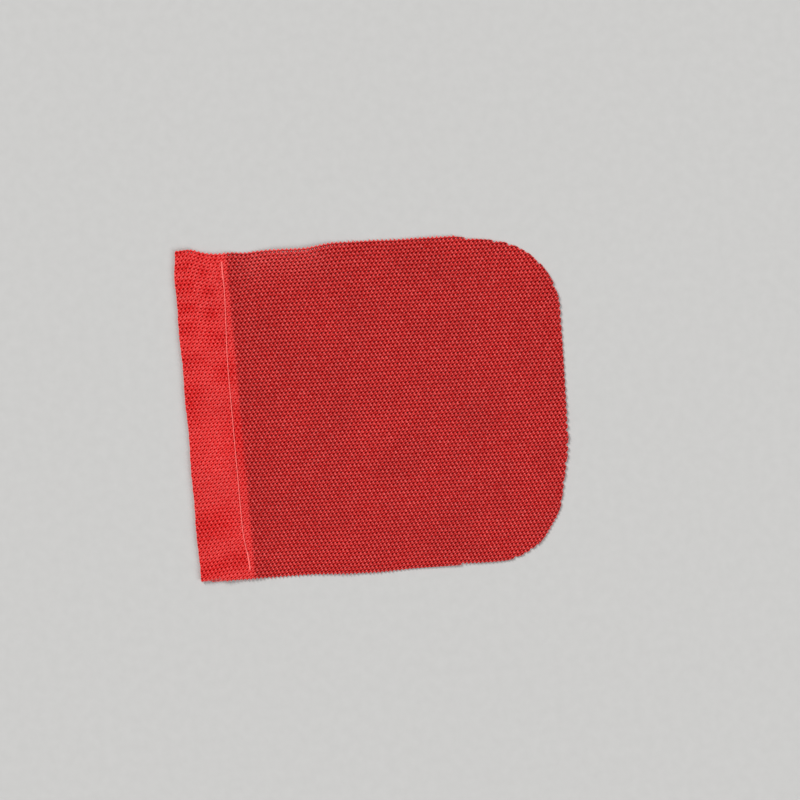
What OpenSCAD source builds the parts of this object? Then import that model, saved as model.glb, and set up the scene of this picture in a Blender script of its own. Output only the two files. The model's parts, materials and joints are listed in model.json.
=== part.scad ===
// Knitted mesh sheet with a stitched hem casing at one end and a rounded free end.
// It lies flat: +X runs from the hem to the rounded end, +Y across the sheet, +Z up.
// The origin is on the underside, below the middle of the casing's tunnel.

/* [Sheet] */
// Length from the hem's fold edge to the rounded end
sheet_len = 248; // [225:1:270]
// Width between the long sides of the panel
panel_w = 213; // [195:1:230]
// Width where the seam draws the mesh in
seam_w = 209.6; // [190:0.2:230]
// Width along the hem's fold edge, where the mesh flares out
fold_edge_w = 216; // [190:1:235]
// Thickness of the knitted mesh
sheet_t = 0.8; // [0.6:0.1:1.2]

/* [Rounded end] */
// Radius of the corner on the +Y side
plus_corner_r = 48; // [30:1:55]
// Radius of the corner on the -Y side
minus_corner_r = 47; // [30:1:55]
// How far the +Y side draws in before its corner
plus_draw_in = 13; // [4:1:16]
// How much further in the corner on the -Y side is set
end_lean = 19; // [4:1:22]

/* [Hem casing] */
// Width of the casing, from the fold edge to the seam
hem_w = 31; // [27:1:36]
// Width of the turned-back edge beyond the seam
seam_allowance = 5; // [3:0.5:7]
// Height of the tunnel, which stands slightly open
tunnel_h = 5.4; // [1:0.2:8]

/* [Thread] */
// Diameter of the sewing thread
thread_d = 0.5; // [0.3:0.05:0.5]
// Length of one stitch
stitch_len = 3; // [2.5:0.25:4]
// Number of stitches in the seam
stitch_count = 67; // [40:1:68]
// Number of stitches sewn back over at each end
backtack_count = 4; // [2:1:8]

/* [Folding] */
// Distance from the turned-back edge to the hem's fold line
hem_fold_offset = 6; // [5:0.5:10]
// Half angle of the tapered edges that meet at the hem's fold line
hem_taper_angle = 10; // [8:1:20]
// Half angle of the tapered edges that meet at the panel's fold lines
panel_taper_angle = 45; // [30:1:50]
// Gap left between two zones at a fold line
fold_gap = 0.1; // [0.05:0.05:0.3]

/* [Hidden] */

mesh_red = "#d2352f";
thread_pink = "#f77e76";

zone_count = 4;
allowance_edge = hem_w + seam_allowance;
hem_fold = allowance_edge + hem_fold_offset;
zone_len = (sheet_len - hem_fold) / zone_count;
skew = 3.4;             // how far the net's skew shifts the panel towards -Y
plus_turn = 0.72;       // share of the length at which the +Y side turns inwards
minus_turn = 0.42;      // share of the length at which the -Y side reaches its full width
end_turn = 0.36;        // share of the half width at which the rounded end starts to lean
corner_overreach = 0.9; // the +Y corner's tangents meet this far past the sheet's length
side_r = 60;            // radius of the slight turns along the sides
end_r = 100;            // radius of the slight turn in the rounded end
beyond = 20;            // how far a cutting shape runs past what it cuts
arc_steps = 14;         // straight steps in one rounded corner
hump_steps = 16;        // straight steps across the tunnel's roof
hump_power = 4;         // a higher power gives a flatter roof
tunnel_end_gap = 1.2;   // distance from the tunnel's edges to the fold and to the seam

thread_r = thread_d / 2;
thread_sides = 6;
thread_play = 0.03;                    // gap between the thread and the mesh around it
thread_proud = 0.2;                    // how far the needle thread stands above the mesh
tack_offset = thread_d + 0.15;         // sideways step from the seam to its back-tack
stitch_dip = 0.6;                      // distance from a needle hole in which the thread dives
needle_slot = [thread_d + 0.1, 1.3];   // a needle hole, across and along the seam
seam_start = stitch_len * stitch_count / 2 - 0.8;
needle_top = 2 * sheet_t + thread_proud - thread_r;
needle_low = sheet_t + thread_r + thread_play + 0.05;
bobbin_low = thread_r + thread_play;
bobbin_high = sheet_t - thread_r - thread_play - 0.05;

// Every length along the sheet is measured from the fold edge; this moves it to the row's origin.
module from_origin() {
    translate([-hem_w / 2, 0, 0]) children();
}

function unit(v) = v / norm(v);
function turn_of(before, corner, after) = acos(unit(corner - before) * unit(after - corner));

// Points of the arc with radius r that rounds one corner.
function rounded_corner(before, corner, after, r) =
    let(turn = turn_of(before, corner, after),
        tangent = r * tan(turn / 2),
        start = corner + tangent * unit(before - corner),
        end = corner + tangent * unit(after - corner),
        middle = corner + r / cos(turn / 2) * unit((start + end) / 2 - corner))
    r == 0 ? [corner]
           : [for (i = [0:arc_steps])
                  let(across = start + (end - start) * (1 - cos(180 * i / arc_steps)) / 2)
                  middle + r * unit(across - middle)];

// Corners of the sheet: a point and the radius that rounds it.
function sheet_corners() =
    let(plus_side = panel_w / 2 - skew, minus_side = -panel_w / 2 - skew)
    [
        [[0, (fold_edge_w + skew) / 2], 0],
        [[allowance_edge, seam_w / 2], side_r],
        [[sheet_len * plus_turn, plus_side], side_r],
        [[sheet_len + corner_overreach, plus_side - plus_draw_in], plus_corner_r],
        [[sheet_len - end_lean / 8, minus_side * end_turn], end_r],
        [[sheet_len - end_lean, minus_side], minus_corner_r],
        [[sheet_len * minus_turn, minus_side + skew / 3], side_r],
        [[allowance_edge, -seam_w / 2], side_r],
        [[0, (skew - fold_edge_w) / 2], 0],
    ];

module sheet_outline() {
    corners = sheet_corners();
    count = len(corners);
    polygon([for (i = [0:count - 1])
                 each rounded_corner(corners[(i + count - 1) % count][0], corners[i][0],
                                     corners[(i + 1) % count][0], corners[i][1])]);
}

// Runs a side view, drawn in X and Z, across the whole sheet and trims it to the sheet's outline.
module across_sheet() {
    intersection() {
        translate([0, fold_edge_w / 2 + beyond, 0])
            rotate([90, 0, 0]) linear_extrude(fold_edge_w + 2 * beyond) children();
        translate([0, 0, -beyond]) linear_extrude(2 * beyond + tunnel_h) sheet_outline();
    }
}

// Length of a zone's tapered edge for the given half angle.
function taper(angle) = sheet_t / 2 / tan(angle);

// Side view of one flat zone, pointed along the fold lines at both ends.
module zone_section(start, end, start_taper, end_taper) {
    polygon([
        [start + fold_gap / 2, sheet_t / 2],
        [start + start_taper, sheet_t],
        [end - end_taper, sheet_t],
        [end - fold_gap / 2, sheet_t / 2],
        [end - end_taper, 0],
        [start + start_taper, 0],
    ]);
}

// One zone of the panel, counted from the hem's fold line.
module panel_zone(index) {
    start = hem_fold + index * zone_len;
    last = index == zone_count - 1;
    color(mesh_red)
        from_origin()
            across_sheet()
                zone_section(start, last ? sheet_len + beyond : start + zone_len,
                             taper(index == 0 ? hem_taper_angle : panel_taper_angle),
                             taper(panel_taper_angle));
}

// Height of the tunnel's roof above its floor, at a share of the way across it.
function roof(share) = tunnel_h * (1 - pow(abs(2 * share - 1), hump_power));
function tunnel_x(share) = tunnel_end_gap + share * (hem_w - 2 * tunnel_end_gap);

module tunnel_section() {
    polygon([for (i = [0:hump_steps])
                 let(share = i / hump_steps)
                 [tunnel_x(share), sheet_t + roof(share)]]);
}

// Side view of the hem: back wall, fold, front wall and turned-back edge in one piece of mesh.
module hem_section() {
    difference() {
        polygon([
            for (angle = [270:-30:90]) [sheet_t + sheet_t * cos(angle), sheet_t + sheet_t * sin(angle)],
            for (i = [0:hump_steps])
                let(share = i / hump_steps)
                [tunnel_x(share), 2 * sheet_t + roof(share)],
            [allowance_edge, 2 * sheet_t],
            [hem_fold - taper(hem_taper_angle), sheet_t],
            [hem_fold - fold_gap / 2, sheet_t / 2],
            [hem_fold - taper(hem_taper_angle), 0],
            [allowance_edge, sheet_t * 0.9],
            [allowance_edge, 0],
        ]);
        tunnel_section();
    }
}

function seam_end() = seam_start - stitch_len * stitch_count;

// The places of the stitches: [distance from the fold edge, first needle hole, number of stitches].
function stitch_rows() = [
    [hem_w, seam_end(), stitch_count],
    [hem_w + tack_offset, seam_end(), backtack_count],
    [hem_w + tack_offset, seam_start - stitch_len * backtack_count, backtack_count],
];

// Grooves that the thread sinks into, and the needle holes between them.
module stitch_cuts() {
    for (row = stitch_rows()) {
        run = row[2] * stitch_len + needle_slot[1];
        groove_floor = needle_top - thread_r - thread_play;
        groove_roof = bobbin_low + thread_r + thread_play;
        translate([row[0] - needle_slot[0] / 2, row[1] - needle_slot[1] / 2, 0]) {
            translate([0, 0, groove_floor]) cube([needle_slot[0], run, sheet_t]);
            translate([0, 0, -sheet_t]) cube([needle_slot[0], run, sheet_t + groove_roof]);
            for (i = [0:row[2]])
                translate([0, i * stitch_len, -sheet_t])
                    cube([needle_slot[0], needle_slot[1], 4 * sheet_t]);
        }
    }
}

module hem_casing() {
    color(mesh_red)
        from_origin()
            difference() {
                across_sheet() hem_section();
                stitch_cuts();
            }
}

// One row of stitches as a thread: it lies at height `lie` and goes to height `dive` at each needle hole.
module stitch_thread(row, lie, dive) {
    stations = [
        for (i = [0:row[2] - 1])
            for (step = [[0, dive], [stitch_dip / 2, (lie + dive) / 2], [stitch_dip, lie],
                         [stitch_len - stitch_dip, lie], [stitch_len - stitch_dip / 2, (lie + dive) / 2]])
                [row[1] + i * stitch_len + step[0], step[1]],
        [row[1] + row[2] * stitch_len, dive],
    ];
    last = len(stations) - 1;
    points = [
        for (station = stations)
            for (side = [0:thread_sides - 1])
                let(angle = 360 * side / thread_sides)
                [row[0] + thread_r * cos(angle), station[0], station[1] + thread_r * sin(angle)]
    ];
    walls = [
        for (k = [0:last - 1])
            for (side = [0:thread_sides - 1])
                let(next = (side + 1) % thread_sides, a = k * thread_sides, b = a + thread_sides)
                [a + side, b + side, b + next, a + next]
    ];
    first_cap = [for (side = [0:thread_sides - 1]) side];
    last_cap = [for (side = [thread_sides - 1:-1:0]) last * thread_sides + side];
    polyhedron(points, concat(walls, [first_cap], [last_cap]));
}

module needle_thread() {
    color(thread_pink)
        from_origin()
            for (row = stitch_rows()) stitch_thread(row, needle_top, needle_low);
}

module bobbin_thread() {
    color(thread_pink)
        from_origin()
            for (row = stitch_rows()) stitch_thread(row, bobbin_low, bobbin_high);
}

hem_casing();
panel_zone(0);  // panel_inner
panel_zone(1);  // panel_middle
panel_zone(2);  // panel_outer
panel_zone(3);  // rounded_end
needle_thread();
bobbin_thread();
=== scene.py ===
"""Visual model of the mesh sheet: a knitted net with real holes, a lockstitched casing, and a studio.

Lengths are millimetres in the row frame until a mesh is written; names that end in _M are metres. The
fabric is laid out flat first: u runs along the sheet from the hem's fold (negative on the turned-back wall)
and v runs across it.
"""
import json
import math

import bpy
import numpy as np
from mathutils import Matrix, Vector

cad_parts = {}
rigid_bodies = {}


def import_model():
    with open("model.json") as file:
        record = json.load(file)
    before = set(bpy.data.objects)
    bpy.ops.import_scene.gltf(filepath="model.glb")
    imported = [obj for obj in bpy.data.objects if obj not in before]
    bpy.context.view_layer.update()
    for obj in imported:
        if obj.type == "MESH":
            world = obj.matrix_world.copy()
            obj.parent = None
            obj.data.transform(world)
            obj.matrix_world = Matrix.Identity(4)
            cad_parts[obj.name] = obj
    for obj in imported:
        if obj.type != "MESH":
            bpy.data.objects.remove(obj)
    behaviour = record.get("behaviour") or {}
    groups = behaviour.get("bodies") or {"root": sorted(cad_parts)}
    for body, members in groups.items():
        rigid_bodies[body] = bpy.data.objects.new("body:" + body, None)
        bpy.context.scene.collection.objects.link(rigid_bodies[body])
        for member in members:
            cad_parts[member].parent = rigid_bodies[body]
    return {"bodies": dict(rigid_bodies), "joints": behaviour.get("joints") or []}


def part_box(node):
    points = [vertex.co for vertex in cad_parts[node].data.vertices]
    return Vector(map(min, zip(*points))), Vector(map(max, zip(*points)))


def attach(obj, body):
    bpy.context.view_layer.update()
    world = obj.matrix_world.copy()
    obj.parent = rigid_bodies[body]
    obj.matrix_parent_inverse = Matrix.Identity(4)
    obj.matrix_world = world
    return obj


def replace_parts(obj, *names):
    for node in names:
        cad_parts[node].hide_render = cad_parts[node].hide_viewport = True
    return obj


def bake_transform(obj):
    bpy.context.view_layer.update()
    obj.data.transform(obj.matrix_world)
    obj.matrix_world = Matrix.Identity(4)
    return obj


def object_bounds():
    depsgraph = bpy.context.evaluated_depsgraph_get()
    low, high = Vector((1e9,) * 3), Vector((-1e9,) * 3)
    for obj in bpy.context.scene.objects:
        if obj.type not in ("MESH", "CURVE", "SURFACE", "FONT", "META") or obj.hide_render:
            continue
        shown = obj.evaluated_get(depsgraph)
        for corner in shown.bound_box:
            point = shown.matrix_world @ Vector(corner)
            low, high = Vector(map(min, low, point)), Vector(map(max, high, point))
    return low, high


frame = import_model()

MM = 0.001
CAD_LOW, CAD_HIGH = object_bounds()
RANDOM = np.random.default_rng(11)

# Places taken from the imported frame
FOLD_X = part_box("hem_casing")[0].x / MM
SHEET_LEN = (CAD_HIGH.x - CAD_LOW.x) / MM
HINGES = {joint["name"]: joint for joint in frame["joints"]}
HINGE_U = {name: joint["pos_m"][0] / MM - FOLD_X for name, joint in HINGES.items()}

# The net: one row of holes along u, and the next row up
FIRST_HOLE = np.array([1.515, 0.883])
ROW_STEP = np.array([2.634, -0.090])
NEXT_ROW = np.array([1.300, 2.446])
STEPS = np.stack([ROW_STEP, NEXT_ROW])

# How the cut follows the net: both sides are cut along a row, the corners and the end through the cells
TOP_ROW = 42
BOTTOM_ROW = -44
ROWS_FOLLOWED_FROM = 18
TOP_ROW_END = 183
BOTTOM_ROW_END = 132
CUT_MARGIN = 0.15
OVERHANG_KEPT = 0.25

# How the sheet lies
MESH_MIDDLE = 0.56
FOLD_RADIUS = 0.70
QUARTER_TURN = math.pi * FOLD_RADIUS / 2
SEAM_X = 29.8
SEAM_END_SHIFT = 2.3
FLAP_EDGE_X = 35.2
PANEL_START_X = 45.0
LAYER_GAP = 0.90


# ---------------------------------------------------------------- smooth steps and waves
def smooth(value, low, high):
    """0 below low, 1 above high and a smooth step between."""
    t = np.clip((value - low) / (high - low), 0, 1)
    return t * t * (3 - 2 * t)


def between(value, rise, full, fade, gone):
    """0 before rise, 1 from full to fade and 0 again after gone."""
    return smooth(value, rise, full) * (1 - smooth(value, fade, gone))


def bump(value, middle, width):
    """1 at the middle, falling smoothly to 0 on both sides."""
    return np.exp(-((value - middle) / width) ** 2)


def ripple(value, length, shift=0.0):
    """A wave of this length, started at a share of its length."""
    return np.sin(2 * math.pi * (value / length + shift))


def varied(*shape):
    """Random differences around 0, the largest held back to twice the usual size."""
    return RANDOM.standard_normal(shape).clip(-2, 2)


# ---------------------------------------------------------------- the sheet's outline
ARC_STEPS = 14


def rounded_outline(corners):
    """Closed outline through corners given as (u, v, radius)."""
    points = []
    count = len(corners)
    for i, (u, v, radius) in enumerate(corners):
        corner = np.array([u, v])
        if radius == 0:
            points.append(corner)
            continue
        before = np.array(corners[i - 1][:2]) - corner
        after = np.array(corners[(i + 1) % count][:2]) - corner
        before /= np.linalg.norm(before)
        after /= np.linalg.norm(after)
        half_turn = (math.pi - math.acos(before @ after)) / 2
        start = corner + before * radius * math.tan(half_turn)
        end = corner + after * radius * math.tan(half_turn)
        bisector = (before + after) / np.linalg.norm(before + after)
        middle = corner + bisector * radius / math.cos(half_turn)
        for step in range(ARC_STEPS + 1):
            share = (1 - math.cos(math.pi * step / ARC_STEPS)) / 2
            across = start + (end - start) * share - middle
            points.append(middle + across / np.linalg.norm(across) * radius)
    return np.array(points)


def sheet_outline():
    """The cut sheet laid flat, with the turned-back wall at u below 0."""
    return rounded_outline([
        (-FLAP_EDGE_X - 0.5, 103.6, 0),
        (0, 109.3, 6),
        (12, 109.5, 14),
        (34, 104.5, 40),
        (0.72 * SHEET_LEN, 103.4, 60),
        (SHEET_LEN + 1.6, 90.5, 48),
        (SHEET_LEN - 1.8, -39.6, 100),
        (SHEET_LEN - 18, -110.6, 46),
        (0.42 * SHEET_LEN, -109.4, 60),
        (36, -104.8, 60),
        (0, -106.3, 20),
        (-FLAP_EDGE_X - 0.5, -106.9, 0),
    ])


def nearest_on_outline(points, outline):
    """Each point's nearest place on the outline, and its distance from it, positive inside."""
    place = np.zeros_like(points)
    distance = np.full(len(points), np.inf)
    inside = np.zeros(len(points), bool)
    for start, end in zip(outline, np.roll(outline, -1, axis=0)):
        along = end - start
        share = np.clip(((points - start) @ along) / (along @ along), 0, 1)
        candidate = start + share[:, None] * along
        away = np.linalg.norm(points - candidate, axis=1)
        closer = away < distance
        place[closer] = candidate[closer]
        distance = np.minimum(distance, away)
        crosses = (points[:, 1] < start[1]) != (points[:, 1] < end[1])
        rise = along[1] if along[1] else 1e-9
        inside ^= crosses & (points[:, 0] < start[0] + (points[:, 1] - start[1]) / rise * along[0])
    return place, np.where(inside, distance, -distance)


def follows_rows(places):
    """1 where a side is cut along a row of holes, 0 where the outline cuts through the net."""
    u, v = places.T
    row_end = np.where(v > 0, TOP_ROW_END, BOTTOM_ROW_END)
    return between(u, ROWS_FOLLOWED_FROM - 4, ROWS_FOLLOWED_FROM, row_end, row_end + 4)


def trimmed(places, outline):
    """Draws whatever hangs over the cut back to it, so that a cut through the net has a smooth edge."""
    u, v = places.T
    # No cut comes further into the sheet than this
    near_cut = (np.abs(v) > 85) | (u > 200) | (u < -30)
    edge, distance = nearest_on_outline(places[near_cut], outline)
    share = np.where(distance < 0, OVERHANG_KEPT, 1)
    share = share + (1 - share) * follows_rows(places[near_cut])
    places = places.copy()
    places[near_cut] = edge + (places[near_cut] - edge) * share[:, None]
    return places


# ---------------------------------------------------------------- how the net is drawn out in plan
# Movements that grow across the sheet are given for PLAN_UNIT from its middle
PLAN_UNIT = 100
PLAN_SHIFT = 0.2         # the whole net, along and across
ROW_LEAN = 2.1           # the +Y side towards the hem, the -Y side away from it
ROW_BOW = 4.5            # both sides towards the hem
ROW_FAN = 0.028          # the +Y side away from the hem, for each mm along the sheet
SIDES_IN = 1.15          # both sides towards the middle
ROWS_UP = 2.85           # both sides towards +Y
SEAM_GATHER = 2.8        # the +Y side drawn in by the seam
HEM_FLARE = 1.1          # and let out again near the fold
SIDE_IN = 2.2            # the +Y side drawn in where it is stretched, just past the hem
MINUS_HEM_OUT = 2.0      # the -Y side let out near the fold
MINUS_SIDE_WAVE = 0.45   # the wave of the -Y side
MINUS_END_OUT = 0.9      # the -Y side let out near the rounded end
PULL_ROUNDS = 3


def stretched_side(x, y):
    """Share by which the net is pulled open: the part of the +Y side just past the hem."""
    return between(x, 36, 52, 88, 112) * smooth(y, 74, 104)


def pull(u, v):
    """How far the net has moved from an even net: it leans, bows and is gathered by the hem's seam."""
    x = np.maximum(u, 0)
    q = v / PLAN_UNIT
    plus = np.maximum(q, 0) ** 2
    minus = np.minimum(q, 0) ** 2
    along = PLAN_SHIFT - ROW_LEAN * q - ROW_BOW * q ** 2 + ROW_FAN * q * x
    along = along + 0.10 * ripple(v + 0.3 * u, 37, 0.7)
    across = PLAN_SHIFT - SIDES_IN * q + ROWS_UP * q ** 2
    across = across - SEAM_GATHER * plus * bump(u, 32, 16) + HEM_FLARE * plus * bump(u, 10, 8)
    across = across - SIDE_IN * smooth(v, 80, 104) * between(x, 36, 50, 84, 108)
    across = across - MINUS_HEM_OUT * minus * (1 - smooth(x, 0, 24))
    across = across + MINUS_SIDE_WAVE * minus * ripple(x - 50, 80) * smooth(x, 36, 60)
    across = across - MINUS_END_OUT * minus * smooth(x, 180, 245)
    across = across + 0.12 * ripple(x + 0.4 * v, 74, 0.1) + 0.08 * ripple(x - 0.7 * v, 31, 0.4)
    return np.stack([along, across], axis=-1)


def drawn(even):
    """Where points of an even net lie in the cut sheet; the pull depends on where they end up."""
    moved = even
    for _ in range(PULL_ROUNDS):
        moved = even + pull(moved[:, 0], moved[:, 1])
    return moved


# ---------------------------------------------------------------- how high the sheet lies
SIDE_LIFT = 1.1          # the +Y side stands off the floor just past the hem
SIDE_CURL = 0.22         # waves of the long sides
END_CURL = 0.25          # waves of the rounded end
SLACK = 0.10             # broad waves of the whole panel
CASING_RISE = 0.45       # swell of the casing's front wall
BACK_RISE = 0.06         # waves of its back wall
SEAM_LIFT = 0.12         # the back wall drawn up by the seam
# The fold edge in plan: its mean set-back, its waves, and how its two ends differ
FOLD_SET_BACK = 0.6
FOLD_WAVE = 0.26
FOLD_FINE_WAVE = 0.08
FOLD_MINUS_OUT = 0.45
FOLD_CORNER_IN = 1.9
FOLD_SHIFT_REACH = 14


def seam_place(y):
    """Distance of the seam from the fold: it runs a little wider near both ends."""
    return SEAM_X + SEAM_END_SHIFT * (smooth(y, 25, 88) + smooth(-y, 72, 100))


def panel_height(x, y):
    """Height of the panel's middle surface above the floor where it lies as one layer."""
    lift = SIDE_LIFT * between(x, 44, 74, 84, 118) * smooth(y, 78, 106)
    side = SIDE_CURL * smooth(np.abs(y), 84, 108) * (1 + ripple(x, 83, 0.15))
    end = END_CURL * smooth(x, 205, SHEET_LEN) * (1 + ripple(y, 97, 0.6))
    body = SLACK * (1 + ripple(x + 0.5 * y, 118, 0.2) * ripple(y - 0.2 * x, 141, 0.55))
    return MESH_MIDDLE + (lift + side + end + body) * smooth(x, 38, 70)


def front_height(x, y):
    """Height of the casing's front wall and of the panel that continues it."""
    at_fold = MESH_MIDDLE + 2 * FOLD_RADIUS
    at_seam = MESH_MIDDLE + LAYER_GAP
    wall = at_fold + (at_seam - at_fold) * smooth(x, FOLD_RADIUS, 28)
    swell = CASING_RISE + 0.25 * ripple(y, 61, 0.1) + 0.16 * ripple(y, 27, 0.6)
    wall = wall + swell * np.sin(math.pi * np.clip(x / 29, 0, 1)) ** 2
    step_down = smooth(x, FLAP_EDGE_X + 0.6, PANEL_START_X)
    return wall + (panel_height(x, y) - wall) * step_down


def back_height(x, y):
    """Height of the casing's back wall and the turned-back edge."""
    seam = SEAM_LIFT * bump(x, SEAM_X, 4)
    return MESH_MIDDLE + seam + BACK_RISE * (1 + ripple(y, 43)) * smooth(x, 2, 12)


def fold_line_shift(x, y):
    """Small waves of the fold edge and its set-back at the +Y end, fading into the casing."""
    waves = FOLD_WAVE * ripple(y + 20.75, 43) + FOLD_FINE_WAVE * ripple(y, 11)
    ends = FOLD_CORNER_IN * smooth(y, 88, 109) - FOLD_MINUS_OUT * (1 - smooth(y, -50, -22))
    return (FOLD_SET_BACK + waves + ends) * bump(x, 0, FOLD_SHIFT_REACH)


def surface(u, y):
    """Middle surface of the fabric in the row frame; the fold is a half turn between its two walls."""
    turned = np.abs(u) < QUARTER_TURN
    x_around = FOLD_RADIUS * (1 - np.cos(u / FOLD_RADIUS))
    z_around = MESH_MIDDLE + FOLD_RADIUS + FOLD_RADIUS * np.sin(u / FOLD_RADIUS)
    x = np.where(turned, x_around, np.abs(u) - QUARTER_TURN + FOLD_RADIUS)
    z = np.where(turned, z_around, np.where(u > 0, front_height(x, y), back_height(x, y)))
    return np.stack([FOLD_X + x + fold_line_shift(x, y), y, z], axis=-1)


def surface_normal(u, v):
    """Outward normal of the fabric's face."""
    step = 0.05
    along = surface(u + step, v) - surface(u - step, v)
    across = surface(u, v + step) - surface(u, v - step)
    normal = np.cross(along, across)
    return normal / np.linalg.norm(normal, axis=-1, keepdims=True)


# ---------------------------------------------------------------- the net's cells
PITS, LOOPS, KNOTS, OVER_YARNS, UNDER_YARNS = range(5)
# The twelve rim points of a cell, anticlockwise: (family, step along the row, step up the rows)
RIM = [
    (PITS, 0, 0), (OVER_YARNS, 0, 0), (LOOPS, 0, 0), (UNDER_YARNS, 0, 0),
    (PITS, -1, 0), (KNOTS, -1, 0), (LOOPS, 0, -1), (OVER_YARNS, 0, -1),
    (PITS, 0, -1), (UNDER_YARNS, 1, -1), (LOOPS, 1, -1), (KNOTS, 0, 0),
]
SIDES = len(RIM)
# The neighbour cell across each odd rim point
ACROSS = {1: (0, 1), 3: (-1, 1), 5: (-1, 0), 7: (0, -1), 9: (1, -1), 11: (1, 0)}
PIT_PULL = 0.12
CORNER_PULL = 0.15
OVER_YARN_LEAN = 0.58

# The even net is laid out this many rows either way, and this many cells past the sheet, before it is cut
SHEET_ROWS = 52
SPARE_CELLS = 80


def hole_at(i, j):
    """Middle of the hole of cell i in row j."""
    return FIRST_HOLE + np.multiply.outer(i, ROW_STEP) + np.multiply.outer(j, NEXT_ROW)


def nearest_hole(points):
    """The cell (i, j) whose hole is nearest, as two arrays."""
    return np.round((points - FIRST_HOLE) @ np.linalg.inv(STEPS)).T


def rim_place(family, i, j):
    """Flat place of a rim point. Pits and loops lie where three cells meet, drawn a little to the knots."""
    cell = hole_at(i, j)
    if family == KNOTS:
        return cell + ROW_STEP / 2
    if family == PITS:
        middle = (ROW_STEP + NEXT_ROW) / 3
        return cell + middle + PIT_PULL * (ROW_STEP / 2 - middle)
    if family == LOOPS:
        middle = (2 * NEXT_ROW - ROW_STEP) / 3
        return cell + middle + CORNER_PULL * (NEXT_ROW - ROW_STEP / 2 - middle)
    if family == OVER_YARNS:
        return (1 - OVER_YARN_LEAN) * rim_place(PITS, i, j) + OVER_YARN_LEAN * rim_place(LOOPS, i, j)
    return (rim_place(LOOPS, i, j) + rim_place(PITS, i - 1, j)) / 2


def kept_cells(outline):
    """Cells (i, j) of the cut sheet: both sides follow a row of holes, the outline decides the rest."""
    reach = int((SHEET_LEN + 2 * FLAP_EDGE_X) / ROW_STEP[0]) + SPARE_CELLS
    j, i = np.meshgrid(np.arange(-SHEET_ROWS, SHEET_ROWS + 1), np.arange(-reach, reach + 1))
    i, j = i.ravel(), j.ravel()
    u, v = hole_at(i, j).T
    near = (u > -FLAP_EDGE_X - 12) & (u < SHEET_LEN + 14) & (np.abs(v) < 122)
    i, j = i[near], j[near]
    place = drawn(hole_at(i, j))
    inside = nearest_on_outline(place, outline)[1] > CUT_MARGIN
    keep = np.where(follows_rows(place) > 0.5, (j >= BOTTOM_ROW) & (j <= TOP_ROW), inside)
    return i[keep], j[keep]


class Cells:
    """The kept cells, their holes, and the rim points that they share with their neighbours."""

    def __init__(self, i, j):
        self.i, self.j = i, j
        self.low_i, self.low_j = i.min() - 2, j.min() - 2
        self.row_count = j.max() - self.low_j + 3
        self.key_count = (i.max() - self.low_i + 3) * self.row_count
        self.kept = np.zeros(self.key_count, bool)
        self.kept[self.key(0, i, j)] = True
        self.hole = hole_at(i, j)
        keys = np.stack([self.key(family, i + di, j + dj) for family, di, dj in RIM], axis=1)
        used, rim = np.unique(keys, return_inverse=True)
        self.rim = rim.reshape(keys.shape)
        self.rim_uv = np.zeros((len(used), 2))
        families, places = used // self.key_count, used % self.key_count
        rim_i, rim_j = places // self.row_count + self.low_i, places % self.row_count + self.low_j
        for family in (PITS, LOOPS, KNOTS, OVER_YARNS, UNDER_YARNS):
            chosen = families == family
            self.rim_uv[chosen] = rim_place(family, rim_i[chosen], rim_j[chosen])

    def key(self, family, i, j):
        """One whole number for each cell or rim point."""
        return family * self.key_count + (i - self.low_i) * self.row_count + (j - self.low_j)

    def without_neighbour(self, di, dj):
        """Indices of the cells whose neighbour at this step was cut away."""
        return np.flatnonzero(~self.kept[self.key(0, self.i + di, self.j + dj)])


# ---------------------------------------------------------------- how the yarn catches the light
# Strands climb diagonally from the knot beside one hole, over a crest, to the knot of the next row
KNOT_PLACE = np.array([1.24, -0.22])
CREST_PLACE = ROW_STEP + np.array([0.32, 1.43])
CREST_SLOPE = math.radians(33)
CREST_LENGTH = 0.72
CREST_WIDTH = 0.42
STRAND_WIDTH = 0.48
KNOT_WIDTH = 0.40
PIT_LIGHT = 0.05
STRAND_LIGHT = 0.42
CREST_LIGHT = 0.68
KNOT_LIGHT = 0.50
FAR = 9.0


def segment_distance(points, start, along):
    share = np.clip(((points - start) @ along) / (along @ along), 0, 1)
    return np.linalg.norm(points - start - share[:, None] * along, axis=1)


def yarn_light(uv):
    """How well a place of the even net catches the light: least in the pits, most on crests and knots."""
    i, j = nearest_hole(uv)
    slope_u, slope_v = math.cos(CREST_SLOPE), math.sin(CREST_SLOPE)
    crest_to_knot = KNOT_PLACE + ROW_STEP + NEXT_ROW - CREST_PLACE
    strand, knot, crest = (np.full(len(uv), FAR) for _ in range(3))
    for di in (-2, -1, 0, 1):
        for dj in (-1, 0, 1):
            hole = hole_at(i + di, j + dj)
            crest_u, crest_v = (uv - hole - CREST_PLACE).T
            along = (crest_u * slope_u + crest_v * slope_v) / CREST_LENGTH
            aside = (crest_u * slope_v - crest_v * slope_u) / CREST_WIDTH
            crest = np.minimum(crest, np.hypot(along, aside))
            knot = np.minimum(knot, np.linalg.norm(uv - hole - KNOT_PLACE, axis=1) / KNOT_WIDTH)
            up = segment_distance(uv, hole + KNOT_PLACE, CREST_PLACE - KNOT_PLACE)
            over = segment_distance(uv, hole + CREST_PLACE, crest_to_knot)
            strand = np.minimum(strand, np.minimum(up, over) / STRAND_WIDTH)
    strands = STRAND_LIGHT * bump(strand, 0, 1) + KNOT_LIGHT * bump(knot, 0, 1)
    return PIT_LIGHT + strands + CREST_LIGHT * bump(crest, 0, 1)


# ---------------------------------------------------------------- the net as a mesh
# How far the yarn stands off the middle surface: at least PIT_RISE, and more with the light on it
PIT_RISE = 0.12
STRAND_RISE = 0.40
RISE_VARIATION = 0.05
TONE_VARIATION = 0.08
# The shoulder is a ring between a hole's edge and its rim, at this share of the way
SHOULDER_SHARE = 0.42
SHOULDER_LIFT = 0.08
SHOULDER_RISE = 0.84
# Share of the painted light that the shoulder gets
SHOULDER_PAINTED_LIGHT = 0.85
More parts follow.
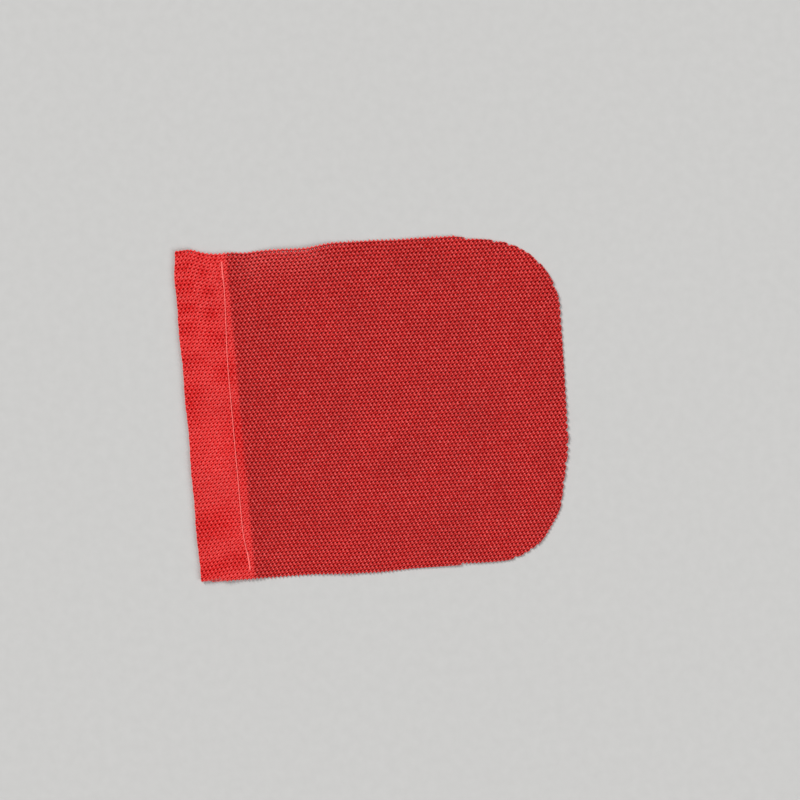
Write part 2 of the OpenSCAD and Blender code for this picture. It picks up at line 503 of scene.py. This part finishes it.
# Holes are tilted ovals, drawn together by the throat around them
HOLE_LENGTH = 1.40
HOLE_HEIGHT = 0.98
HOLE_TILT = math.radians(21)
THROAT = 0.45
CASING_THROAT = 0.52
HOLE_VARIATION = 0.05
TILT_VARIATION = 0.12
HOLE_SHIFT = 0.045
# Painted shade at the hole edges, down the throat
HOLE_PAINTED_SHADE = -0.35
# The casing's doubled net returns more light, so its yarn gets a painted glow; painted light brightens its
# hole walls, where its back wall shows through, and the back wall itself
CASING_GLOW = 0.36
CASING_HOLE_PAINTED_LIGHT = 0.42
BACK_WALL_PAINTED_LIGHT = 0.5
# Painted shade where a hole of the casing's front wall lies over a hole of its back wall
BACKED_WIDTH = 0.8
BACKED_HOLE_PAINTED_SHADE = 0.8
BACKED_SHOULDER_PAINTED_SHADE = 0.24
# Painted light makes the yarn of the stretched side paler
STRETCHED_PAINTED_LIGHT = 0.08
STRETCHED_HOLES = 0.20
# Cut edges: a rounded outer half for the outermost yarns, with a painted highlight, and short frayed ends,
# painted as lit yarn
EDGE_YARN = 0.42
EDGE_PAINTED_HIGHLIGHT = 0.95
CUT_END_SHARE = 0.7
CUT_END_SIDES = 6
CUT_END_PAINTED_LIGHT = 0.75
CUT_END_LENGTH = 0.35
CUT_END_EXTRA = 0.5
CUT_END_LEAN = 0.5
CUT_END_START = 0.2
# Rings of a cut end: (share of its length, radius)
CUT_END_RINGS = ((-0.1, 0.24), (0.6, 0.26), (1.0, 0.17))


def doubled(u, fade):
    """1 on the casing, where the net is double, and 0 on the panel."""
    return 1 - smooth(u, FLAP_EDGE_X - 1, FLAP_EDGE_X + fade)


def backed_by_hole(hole):
    """1 where a hole of the front wall lies over a hole of the back wall, falling to 0 between them; the
    mask of the painted shade there.
    """
    turned_back = drawn(hole) * (-1, 1)
    even = turned_back - pull(turned_back[:, 0], turned_back[:, 1])
    away = np.linalg.norm(even - hole_at(*nearest_hole(even)), axis=1)
    on_front_wall = (hole[:, 0] > 0) & (hole[:, 0] < FLAP_EDGE_X)
    return bump(away, 0, BACKED_WIDTH) * on_front_wall


def yarn_rise(light):
    return PIT_RISE + STRAND_RISE * light


class Net:
    """The whole net as one mesh, with each quad's place along the sheet and values for the shader."""

    def __init__(self):
        self.uv, self.height, self.tone, self.strand = [], [], [], []
        self.quads, self.quad_u = [], []
        self.size = 0

    def add_points(self, uv, height, tone, strand):
        """Points of the even net; strand runs from 0 at a hole's edge to 1 midway between two holes."""
        first = self.size
        self.uv.append(uv)
        self.height.append(np.broadcast_to(height, len(uv)))
        self.tone.append(np.broadcast_to(tone, len(uv)))
        self.strand.append(np.broadcast_to(strand, len(uv)))
        self.size += len(uv)
        return first

    def add_quads(self, a, b, c, d, cell_u):
        self.quads.append(np.stack([a, b, c, d], axis=1))
        self.quad_u.append(np.broadcast_to(cell_u, len(a)))

    def finish(self, outline):
        """Cuts the net to its outline, lays it on the sheet's surface and works out its normals."""
        uv = trimmed(drawn(np.concatenate(self.uv)), outline)
        u, v = uv.T
        height = np.concatenate(self.height)
        on_casing = doubled(u, 1.5)
        on_back_wall = 1 - smooth(u, -1, 1)
        self.strand = np.concatenate(self.strand)
        # Painted light on the stretched side
        self.tone = np.concatenate(self.tone) + STRETCHED_PAINTED_LIGHT * stretched_side(u, v)
        # Painted light brightens the casing's hole walls and its back wall
        self.tone = self.tone + CASING_HOLE_PAINTED_LIGHT * on_casing * (1 - self.strand)
        self.tone = self.tone + BACK_WALL_PAINTED_LIGHT * on_back_wall
        # Painted glow of the doubled casing
        self.below = CASING_GLOW * on_casing
        self.places = surface(u, v) + height[:, None] * surface_normal(u, v)
        self.quads = np.concatenate(self.quads)
        self.quad_u = np.concatenate(self.quad_u)
        a, b, c, d = (self.places[self.quads[:, k]] for k in range(4))
        face = np.cross(c - a, d - b)
        normals = np.zeros_like(self.places)
        for k in range(4):
            np.add.at(normals, self.quads[:, k], face)
        self.normals = normals / np.maximum(np.linalg.norm(normals, axis=1, keepdims=True), 1e-12)


def build_net():
    """Every cell is a hole, a shoulder and a rim shared with its neighbours, on both faces."""
    outline = sheet_outline()
    cells = Cells(*kept_cells(outline))
    net = Net()
    rim_top, rim_low = add_rims(net, cells)
    add_holes(net, cells, rim_top, rim_low)
    add_cut_edges(net, cells, rim_top, rim_low)
    net.finish(outline)
    return net


def add_rims(net, cells):
    """Adds the yarn midway between the holes, and gives its first point on the face and on the back."""
    light = yarn_light(cells.rim_uv)
    rise = yarn_rise(light) * (1 + RISE_VARIATION * varied(len(light)))
    # Rim tone is painted light from how the yarn catches the light, with random tone on top
    tone = light + TONE_VARIATION * varied(len(light))
    rim_top = net.add_points(cells.rim_uv, rise, tone, 1.0)
    rim_low = net.add_points(cells.rim_uv, -rise, tone, 1.0)
    return rim_top, rim_low


def add_holes(net, cells, rim_top, rim_low):
    """Fills each cell from its rim over the shoulder to the edge of its hole, on both faces."""
    u, v = cells.hole.T
    count = len(u)
    size = 1 + HOLE_VARIATION * varied(count)
    size = size * (THROAT + (CASING_THROAT - THROAT) * doubled(u, 1))
    size = size * (1 + STRETCHED_HOLES * stretched_side(u, v))
    tilt = HOLE_TILT + TILT_VARIATION * RANDOM.standard_normal(count)
    middle = cells.hole + HOLE_SHIFT * varied(count, 2)
    backed = backed_by_hole(cells.hole)
    half_length, half_height = HOLE_LENGTH / 2, HOLE_HEIGHT / 2
    edge, top, low = [], [], []
    for k in range(SIDES):
        rim_point = cells.rim_uv[cells.rim[:, k]]
        away = rim_point - cells.hole
        angle = np.arctan2(away[:, 1], away[:, 0])
        flattened = np.hypot(half_height * np.cos(angle - tilt), half_length * np.sin(angle - tilt))
        radius = size * half_length * half_height / flattened
        hole_edge = middle + radius[:, None] * np.stack([np.cos(angle), np.sin(angle)], axis=1)
        shoulder = hole_edge + SHOULDER_SHARE * (rim_point - hole_edge)
        light = yarn_light(shoulder)
        rise = (SHOULDER_LIFT + yarn_rise(light)) * SHOULDER_RISE
        # The shoulder gets painted light, lessened by painted shade where the holes of both casing walls
        # line up
        tone = SHOULDER_PAINTED_LIGHT * light - BACKED_SHOULDER_PAINTED_SHADE * backed
        # The hole edges get painted shade, deeper where the holes of both casing walls line up
        edge.append(net.add_points(hole_edge, 0.0, HOLE_PAINTED_SHADE - BACKED_HOLE_PAINTED_SHADE * backed, 0.0))
        top.append(net.add_points(shoulder, rise, tone, SHOULDER_SHARE))
        low.append(net.add_points(shoulder, -rise, tone, SHOULDER_SHARE))
    cell = np.arange(count)
    for k in range(SIDES):
        n = (k + 1) % SIDES
        edge_a, edge_b = edge[k] + cell, edge[n] + cell
        top_a, top_b = top[k] + cell, top[n] + cell
        low_a, low_b = low[k] + cell, low[n] + cell
        rim_a, rim_b = cells.rim[:, k], cells.rim[:, n]
        net.add_quads(edge_a, top_a, top_b, edge_b, u)
        net.add_quads(top_a, rim_top + rim_a, rim_top + rim_b, top_b, u)
        net.add_quads(edge_b, low_b, low_a, edge_a, u)
        net.add_quads(low_b, rim_low + rim_b, rim_low + rim_a, low_a, u)


def add_cut_edges(net, cells, rim_top, rim_low):
    """Gives the outermost yarns their outer half, and cut yarn ends where three yarns met."""
    rim, rim_uv = cells.rim, cells.rim_uv
    outward = np.zeros_like(rim_uv)
    for k in range(SIDES):
        away = rim_uv[rim[:, k]] - cells.hole
        np.add.at(outward, rim[:, k], away / np.linalg.norm(away, axis=1, keepdims=True))
    length = np.linalg.norm(outward, axis=1, keepdims=True)
    outer_uv = rim_uv + EDGE_YARN * outward / np.maximum(length, 1e-9)
    open_sides = [(k, cells.without_neighbour(di, dj)) for k, (di, dj) in ACROSS.items()]
    on_edge = np.zeros(len(rim_uv), bool)
    for k, lone in open_sides:
        for m in (k - 1, k, (k + 1) % SIDES):
            on_edge[rim[lone, m]] = True
    edge_points = np.flatnonzero(on_edge)
    # The outer halves of the outermost yarns get a painted highlight
    first_outer = net.add_points(outer_uv[edge_points], 0.0, EDGE_PAINTED_HIGHLIGHT, 0.0)
    outer = np.full(len(rim_uv), -1)
    outer[edge_points] = first_outer + np.arange(len(edge_points))
    for k, lone in open_sides:
        lone_u = cells.hole[lone, 0]
        for a, b in ((k - 1, k), (k, (k + 1) % SIDES)):
            rim_a, rim_b = rim[lone, a], rim[lone, b]
            net.add_quads(rim_top + rim_a, outer[rim_a], outer[rim_b], rim_top + rim_b, lone_u)
            net.add_quads(rim_low + rim_b, outer[rim_b], outer[rim_a], rim_low + rim_a, lone_u)
    # A corner that only one kept cell reaches has lost its third yarn: a short cut end is left there, but
    # not where the side is stretched
    reached = np.bincount(rim[:, ::2].ravel(), minlength=len(rim_uv))
    ends = np.flatnonzero(on_edge & (reached == 1))
    frayed = RANDOM.random(len(ends)) < CUT_END_SHARE
    ends = ends[frayed & (stretched_side(*rim_uv[ends].T) < 0.3)]
    add_cut_ends(net, rim_uv[ends], outward[ends] / length[ends])


def turned_left(directions):
    return np.stack([-directions[:, 1], directions[:, 0]], axis=1)


def add_cut_ends(net, start, direction):
    """Short frayed yarn ends pointing out of the cut edge."""
    count = len(start)
    reach = CUT_END_LENGTH + CUT_END_EXTRA * RANDOM.random(count) ** 2
    lean = CUT_END_LEAN * RANDOM.standard_normal(count)
    pointing = direction + lean[:, None] * turned_left(direction)
    pointing /= np.linalg.norm(pointing, axis=1, keepdims=True)
    sideways = turned_left(pointing)
    rings = []
    for share, radius in CUT_END_RINGS:
        middle = start + pointing * (share * reach + CUT_END_START)[:, None]
        ring = []
        for side in range(CUT_END_SIDES):
            turn = 2 * math.pi * side / CUT_END_SIDES
            flat = middle + sideways * (radius * math.cos(turn))
            # Cut ends get painted light
            ring.append(net.add_points(flat, radius * math.sin(turn), CUT_END_PAINTED_LIGHT, 0.5))
        rings.append(ring)
    end = np.arange(count)
    for lower, upper in zip(rings, rings[1:]):
        for a in range(CUT_END_SIDES):
            b = (a + 1) % CUT_END_SIDES
            net.add_quads(lower[a] + end, lower[b] + end, upper[b] + end, upper[a] + end, start[:, 0])
    for ring, order in ((rings[0], (3, 2, 1, 0)), (rings[0], (0, 5, 4, 3)),
                        (rings[-1], (0, 1, 2, 3)), (rings[-1], (3, 4, 5, 0))):
        net.add_quads(*(ring[side] + end for side in order), start[:, 0])


def net_piece(net, name, low_u, high_u, material):
    """The part of the net whose cells lie between two distances along the sheet, as its own object."""
    quads = net.quads[(net.quad_u >= low_u) & (net.quad_u < high_u)]
    used, quads = np.unique(quads, return_inverse=True)
    quads = quads.reshape(-1, 4)
    mesh = bpy.data.meshes.new(name)
    mesh.vertices.add(len(used))
    mesh.vertices.foreach_set("co", (net.places[used] * MM).astype(np.float32).ravel())
    mesh.loops.add(quads.size)
    mesh.loops.foreach_set("vertex_index", quads.astype(np.int32).ravel())
    mesh.polygons.add(len(quads))
    mesh.polygons.foreach_set("loop_start", np.arange(0, quads.size, 4, dtype=np.int32))
    mesh.polygons.foreach_set("loop_total", np.full(len(quads), 4, dtype=np.int32))
    mesh.update(calc_edges=True)
    mesh.polygons.foreach_set("use_smooth", np.ones(len(quads), bool))
    shading = {"yarn_tone_and_painted_light": net.tone, "yarn_strand": net.strand, "doubled_net_glow": net.below}
    for attribute, values in shading.items():
        layer = mesh.attributes.new(attribute, "FLOAT", "POINT")
        layer.data.foreach_set("value", values[used].astype(np.float32))
    mesh.normals_split_custom_set_from_vertices(net.normals[used])
    return placed(mesh, material)


def placed(mesh, material):
    """Makes a mesh into an object of the same name, with its material."""
    mesh.materials.append(material)
    piece = bpy.data.objects.new(mesh.name, mesh)
    bpy.context.scene.collection.objects.link(piece)
    return piece


# ---------------------------------------------------------------- sewing thread
THREAD_RADIUS = 0.27
THREAD_SIDES = 10
PLIES = 3
PLY_DEPTH = 0.16
TWIST_LENGTH = 1.5
STITCH = 3.0
STITCHES = 67
TACK_STITCHES = 4
TACK_SIDE = 0.42
SEAM_TOP_Y = 99.8
STITCH_STATIONS = 14
DIVE_SHARE = 0.16
STITCH_SLANT = 0.16
# Height of the threads over the middle surface: where they lie, and in the needle holes
NEEDLE_LIE = 0.57
BOBBIN_LIE = 0.22
THREAD_DIVE = -0.15


def tube(path, name, material):
    """A twisted three-ply thread along a path of points."""
    ahead = np.gradient(path, axis=0)
    ahead /= np.linalg.norm(ahead, axis=1, keepdims=True)
    side = np.cross(ahead, [0.0, 0.0, 1.0])
    side /= np.linalg.norm(side, axis=1, keepdims=True)
    up = np.cross(side, ahead)
    travelled = np.concatenate([[0], np.cumsum(np.linalg.norm(np.diff(path, axis=0), axis=1))])
    points = []
    for s in range(THREAD_SIDES):
        angle = 2 * math.pi * s / THREAD_SIDES
        ply = 1 + PLY_DEPTH * np.cos(PLIES * angle - 2 * math.pi * travelled / TWIST_LENGTH)
        radius = (THREAD_RADIUS * ply)[:, None]
        points.append(path + radius * (math.cos(angle) * side + math.sin(angle) * up))
    points = np.stack(points, axis=1).reshape(-1, 3)
    faces = []
    for k in range(len(path) - 1):
        a, b = k * THREAD_SIDES, (k + 1) * THREAD_SIDES
        for s in range(THREAD_SIDES):
            n = (s + 1) % THREAD_SIDES
            faces.append((a + s, a + n, b + n, b + s))
    last = (len(path) - 1) * THREAD_SIDES
    faces.append(tuple(range(THREAD_SIDES - 1, -1, -1)))
    faces.append(tuple(range(last, last + THREAD_SIDES)))
    mesh = bpy.data.meshes.new(name)
    mesh.from_pydata((points * MM).tolist(), [], faces)
    mesh.update()
    mesh.polygons.foreach_set("use_smooth", np.ones(len(mesh.polygons), bool))
    return placed(mesh, material)


def stitch_row():
    """Stations of the seam as arrays: y, sideways step, and share of the dive into a needle hole."""
    bottom_y = SEAM_TOP_Y - STITCHES * STITCH
    tack = TACK_STITCHES * STITCH
    runs = [
        (SEAM_TOP_Y - tack, SEAM_TOP_Y, -TACK_SIDE),
        (SEAM_TOP_Y, bottom_y, 0.0),
        (bottom_y, bottom_y + tack, TACK_SIDE),
    ]
    stations = []
    for start, end, side in runs:
        steps = round(abs(end - start) / STITCH) * STITCH_STATIONS
        for step in range(1, steps):
            within = (step % STITCH_STATIONS) / STITCH_STATIONS
            dive = max(0.0, 1 - min(within, 1 - within) / DIVE_SHARE)
            lying = DIVE_SHARE < within < 1 - DIVE_SHARE
            slant = STITCH_SLANT * (within - 0.5) if lying else 0.0
            stations.append((start + (end - start) * step / steps, side + slant, smooth(dive, 0, 1)))
    return np.array(stations).T


def seam_thread(name, material, face, lie):
    """Thread on the front wall (face 1) or the turned-back wall (face -1), diving at each needle hole."""
    y, side, share = stitch_row()
    u = face * (seam_place(y) + side + QUARTER_TURN - FOLD_RADIUS)
    height = lie + (THREAD_DIVE - lie) * share
    thread = tube(surface(u, y) + height[:, None] * surface_normal(u, y), name, material)
    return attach(thread, "hem")


# ---------------------------------------------------------------- materials
# Yarn colours on the scale of painted light, from painted shade at the bottom of a hole to a painted
# highlight on the crest of a strand: (tone, colour)
YARN_COLOURS = [
    (0.0, (0.18, 0.0006, 0.0006)),
    (0.35, (0.45, 0.005, 0.005)),
    (0.62, (0.74, 0.050, 0.047)),
    (0.82, (0.96, 0.140, 0.133)),
    (1.0, (1.0, 0.215, 0.203)),
]
# Bright red of the painted glow on the casing's doubled net
DOUBLED_GLOW_COLOUR = (0.96, 0.006, 0.007, 1)
DYE_PATCHES = [(0.3, (0.88, 0.86, 0.86)), (0.7, (1.0, 1.0, 1.0))]
THREAD_COLOURS = [(0.3, (0.94, 0.10, 0.09)), (0.7, (1.0, 0.20, 0.18))]
FLOOR_COLOURS = [(0.3, (0.50, 0.50, 0.495)), (0.7, (0.52, 0.52, 0.515))]
FILAMENT_LINES = 26
FILAMENT_WANDER = 7


class Look:
    """A material's nodes. Values given to a node are numbers, colours or another node's output."""

    def __init__(self, name):
        self.material = bpy.data.materials.new(name)
        self.material.use_nodes = True
        self.tree = self.material.node_tree
        self.place = self.add("TexCoord").outputs["Object"]

    def add(self, kind, values=None, **settings):
        node = self.tree.nodes.new("ShaderNode" + kind)
        for setting, value in settings.items():
            setattr(node, setting, value)
        self.give(node, values or {})
        return node

    def give(self, node, values):
        for name, value in values.items():
            if isinstance(value, bpy.types.NodeSocket):
                self.tree.links.new(value, node.inputs[name])
            else:
                node.inputs[name].default_value = value

    def surface(self, values):
        self.give(self.tree.nodes["Principled BSDF"], values)
        return self.material

    def attribute(self, name):
        return self.add("Attribute", attribute_name=name).outputs["Fac"]

    def noise(self, scale, detail):
        values = {"Vector": self.place, "Scale": scale, "Detail": detail}
        return self.add("TexNoise", values).outputs["Fac"]

    def ramp(self, source, stops):
        """A colour for each value of the source, from stops (value, colour) in rising order."""
        node = self.add("ValToRGB", {"Fac": source})
        elements = node.color_ramp.elements
        for value, _ in stops[1:-1]:
            elements.new(value)
        for element, (value, colour) in zip(elements, stops):
            element.position = value
            element.color = (*colour, 1)
        return node.outputs["Color"]

    def mix(self, factor, a, b, blend_type="MIX"):
        values = {"Factor": factor, "A": a, "B": b}
        return self.add("Mix", values, data_type="RGBA", blend_type=blend_type).outputs["Result"]

    def scaled(self, source, low, high, source_low=0.0, source_high=1.0):
        source_range = {"Value": source, "From Min": source_low, "From Max": source_high}
        return self.add("MapRange", {**source_range, "To Min": low, "To Max": high}).outputs["Result"]

    def maths(self, operation, *values):
        return self.add("Math", dict(enumerate(values)), operation=operation).outputs[0]

    def bump(self, height, strength, distance):
        values = {"Height": height, "Strength": strength, "Distance": distance}
        return self.add("Bump", values).outputs["Normal"]


def mesh_material():
    """Red polyester yarn: painted shade down the hole walls, painted highlights on the crests, a painted
    glow on the doubled casing, and fine filament lines.
    """
    look = Look("red_mesh_yarn")
    tone = look.attribute("yarn_tone_and_painted_light")
    grain = look.noise(2600, 4)
    patches = look.ramp(look.noise(28, 3), DYE_PATCHES)
    # The casing's yarn is mixed towards the bright red of its painted glow
    yarn = look.mix(look.attribute("doubled_net_glow"), look.ramp(tone, YARN_COLOURS), DOUBLED_GLOW_COLOUR)
    # Fine lines that follow the strands around each hole, broken up by the grain
    wander = look.maths("MULTIPLY", grain, FILAMENT_WANDER)
    turns = look.maths("MULTIPLY_ADD", look.attribute("yarn_strand"), FILAMENT_LINES, wander)
    return look.surface({
        "Base Color": look.mix(1.0, yarn, patches, "MULTIPLY"),
        "Roughness": look.scaled(grain, 0.38, 0.62),
        # Specular is weakened along with the painted shade down the holes
        "Specular IOR Level": look.scaled(tone, 0.05, 0.7, 0.3, 0.9),
        "Normal": look.bump(look.maths("SINE", turns), 0.5, 0.00008),
        "Subsurface Weight": 0.3,
        "Subsurface Radius": (1.0, 0.12, 0.10),
        "Subsurface Scale": 0.0006,
        "Sheen Weight": 0.05,
        "Sheen Roughness": 0.4,
        "Sheen Tint": (1.0, 0.45, 0.42, 1),
    })


def thread_material():
    """Pale pink sewing thread with plies picked out by fine noise."""
    look = Look("pink_sewing_thread")
    fibre = look.noise(1800, 3)
    return look.surface({
        "Base Color": look.ramp(fibre, THREAD_COLOURS),
        "Roughness": 0.45,
        "Normal": look.bump(fibre, 0.3, 0.00005),
        "Sheen Weight": 0.3,
    })


def floor_material():
    """Matt pale card with a barely visible tooth."""
    look = Look("pale_floor")
    return look.surface({
        "Base Color": look.ramp(look.noise(160, 4), FLOOR_COLOURS),
        "Roughness": 0.9,
        "Specular IOR Level": 0.05,
    })


# ---------------------------------------------------------------- studio
# The camera looks straight down, and its picture is this wide at the height of the sheet
PICTURE_WIDTH = 520
PICTURE_TURN = math.radians(5.17)
PICTURE_CENTRE_U = 139.2
LENS = 85
SENSOR = 36
CLIP_NEAR_M = 0.05
CLIP_FAR_M = 20

# Lamps: the place they shine from, their width in degrees, their strength and tint
KEY = ((-1.6, 1.9, 1.7), 26, 3.27, (1, 0.99, 0.975))
FILL = ((2.2, -1.5, 1.7), 34, 1.88, (0.985, 0.99, 1))
WORLD_COLOUR = (1.0, 0.99, 0.98, 1)
WORLD_LIGHT = 0.30
WORLD_SEEN = 0.61

FLOOR_SIZE_M = 40
FLOOR_DROP = 0.02
# How far the floor is lowered below each hinge line, in mm for each radian of the fold
FOLD_SAG = {"hem_fold": 0.45, "inner_fold": 1.1, "middle_fold": 1.1, "outer_fold": 1.1}


def add_camera():
    """Straight above the sheet, turned so that the sheet leans a few degrees in the picture."""
    data = bpy.data.cameras.new("camera")
    data.lens = LENS
    data.sensor_width = SENSOR
    data.clip_start = CLIP_NEAR_M
    data.clip_end = CLIP_FAR_M
    camera = bpy.data.objects.new("camera", data)
    bpy.context.scene.collection.objects.link(camera)
    height = PICTURE_WIDTH * LENS / SENSOR
    camera.location = ((PICTURE_CENTRE_U + FOLD_X) * MM, 0, height * MM)
    camera.rotation_euler = (0, 0, -PICTURE_TURN)
    bpy.context.scene.camera = camera


def add_light(name, comes_from, width_deg, strength, tint):
    """A wide, far lamp that lights the sheet and every part of the floor alike."""
    data = bpy.data.lights.new(name, "SUN")
    data.angle = math.radians(width_deg)
    data.energy = strength
    data.color = tint
    light = bpy.data.objects.new(name, data)
    bpy.context.scene.collection.objects.link(light)
    light.location = comes_from
    light.rotation_euler = Vector(comes_from).to_track_quat("Z", "Y").to_euler()


def add_studio():
    """Two lamps, and a world that lights softly and looks like the floor where the camera sees it."""
    bpy.context.scene.view_settings.view_transform = "Standard"
    world = bpy.data.worlds.new("studio")
    bpy.context.scene.world = world
    world.use_nodes = True
    nodes, links = world.node_tree.nodes, world.node_tree.links
    background = nodes["Background"]
    background.inputs["Color"].default_value = WORLD_COLOUR
    rays = nodes.new("ShaderNodeLightPath")
    strength = nodes.new("ShaderNodeMapRange")
    strength.inputs["To Min"].default_value = WORLD_LIGHT
    strength.inputs["To Max"].default_value = WORLD_SEEN
    links.new(rays.outputs["Is Camera Ray"], strength.inputs["Value"])
    links.new(strength.outputs["Result"], background.inputs["Strength"])
    add_light("key", *KEY)
    add_light("fill", *FILL)


def add_floor():
    """A pale floor that stays just below the lowest point of the sheet as its zones fold."""
    bpy.ops.mesh.primitive_plane_add(size=FLOOR_SIZE_M, location=(0, 0, 0))
    floor = bpy.context.object
    floor.name = "floor"
    floor.data.materials.append(floor_material())
    driver = floor.driver_add("location", 2).driver
    driver.type = "SCRIPTED"
    depths = []
    for k, joint in enumerate(frame["joints"]):
        add_probe(driver, f"z{k}", joint["child"], joint["pos_m"][0])
        fold = driver.variables.new()
        fold.name = f"fold{k}"
        fold.type = "ROTATION_DIFF"
        fold.targets[0].id = frame["bodies"][joint["parent"]]
        fold.targets[1].id = frame["bodies"][joint["child"]]
        depths.append(f"z{k} - {FOLD_SAG[joint['name']] * MM} * fold{k}")
    add_probe(driver, "tip", frame["joints"][-1]["child"], CAD_HIGH.x)
    driver.expression = f"min(0, tip, {', '.join(depths)}) - {FLOOR_DROP * MM}"


def add_probe(driver, name, body, x):
    """Gives the driver the height of the place on a body's underside at distance x."""
    probe = bpy.data.objects.new(f"probe_{name}", None)
    bpy.context.scene.collection.objects.link(probe)
    probe.parent = frame["bodies"][body]
    probe.location = (x, 0, 0)
    variable = driver.variables.new()
    variable.name = name
    variable.type = "TRANSFORMS"
    variable.targets[0].id = probe
    variable.targets[0].transform_type = "LOC_Z"
    variable.targets[0].transform_space = "WORLD_SPACE"


# ---------------------------------------------------------------- the pieces
FOLDS = ("hem_fold", "inner_fold", "middle_fold", "outer_fold")
BACK_WALL_START = -3
PANEL_CUT = FLAP_EDGE_X - 1
END_CUT = HINGE_U["outer_fold"] + 20


def blend_over(piece):
    """Bakes a piece's transform into its mesh; the piece is not bent across its fold line."""
    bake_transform(piece)


def add_sheet():
    """Divides the net midway between the fold lines, so that each fold line runs inside one piece."""
    net = build_net()
    red = mesh_material()
    midway = [(HINGE_U[a] + HINGE_U[b]) / 2 for a, b in zip(FOLDS, FOLDS[1:])]
    names = ("casing_back_wall", "casing_front_wall", "panel_at_hem_fold", "panel_at_inner_fold",
             "panel_at_middle_fold", "panel_at_outer_fold", "panel_rounded_end")
    cuts = [-math.inf, BACK_WALL_START, PANEL_CUT, *midway, END_CUT, math.inf]
    pieces = [net_piece(net, name, low, high, red) for name, low, high in zip(names, cuts, cuts[1:])]
    back, front, hem_fold, inner, middle, outer, end = pieces
    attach(back, "hem")
    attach(front, "hem")
    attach(end, HINGES["outer_fold"]["child"])
    for piece, fold in zip((hem_fold, inner, middle, outer), FOLDS):
        blend_over(piece)
    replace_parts(front, "hem_casing")
    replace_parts(inner, "panel_inner")
    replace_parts(middle, "panel_middle")
    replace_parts(outer, "panel_outer")
    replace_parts(end, "rounded_end")


def add_threads():
    pink = thread_material()
    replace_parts(seam_thread("needle_thread_stitches", pink, 1, NEEDLE_LIE), "needle_thread")
    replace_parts(seam_thread("bobbin_thread_stitches", pink, -1, BOBBIN_LIE), "bobbin_thread")


add_sheet()
add_threads()
add_studio()
add_floor()
add_camera()
